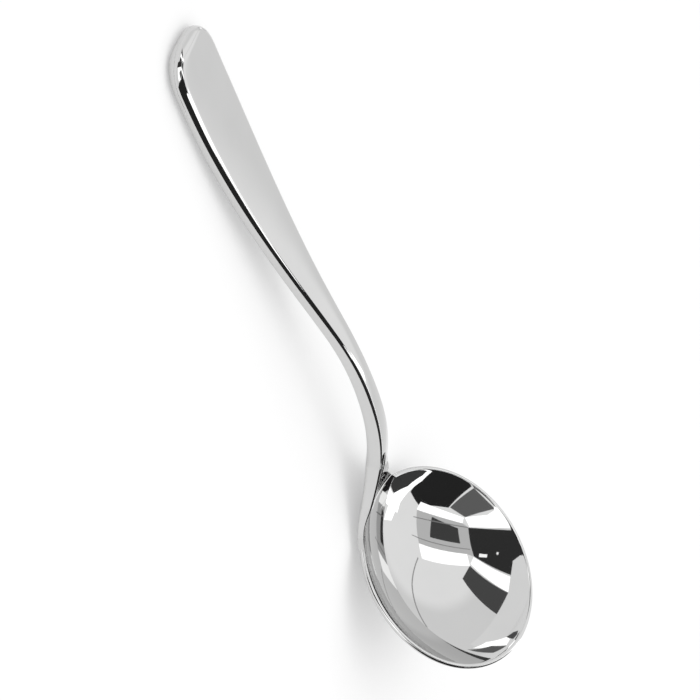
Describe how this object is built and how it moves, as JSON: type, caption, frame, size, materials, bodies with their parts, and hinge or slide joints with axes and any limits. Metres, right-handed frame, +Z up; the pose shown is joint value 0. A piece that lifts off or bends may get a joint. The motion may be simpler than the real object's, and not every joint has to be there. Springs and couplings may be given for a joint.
{
  "type": "soup spoon",
  "caption": "Polished steel soup spoon with a round bowl, a slim crooked neck that flares out of the rim, and a wide hollow handle, lying as on a table.",
  "frame": {"origin": "point of the table that the bowl's round underside rests on", "axes": "+Z up from the table, +X along the spoon from the bowl to the handle's tip, +Y across to the spoon's left as it is held"},
  "size_m": [0.2183, 0.06, 0.0364],
  "materials": {
    "polished_steel": "mirror polished stainless steel with fine hairlines",
    "silver_braze": "silver braze, ground flush and polished",
    "cement_filler": "hardened handle cement, matt"
  },
  "bodies": {
    "root": {"bowl": "polished_steel", "neck": "polished_steel", "handle_front_shell": "polished_steel", "handle_back_shell": "polished_steel", "bowl_braze": "silver_braze", "handle_mouth_braze": "silver_braze", "handle_seam_braze": "silver_braze", "handle_filler": "cement_filler"}
  },
  "joints": []
}
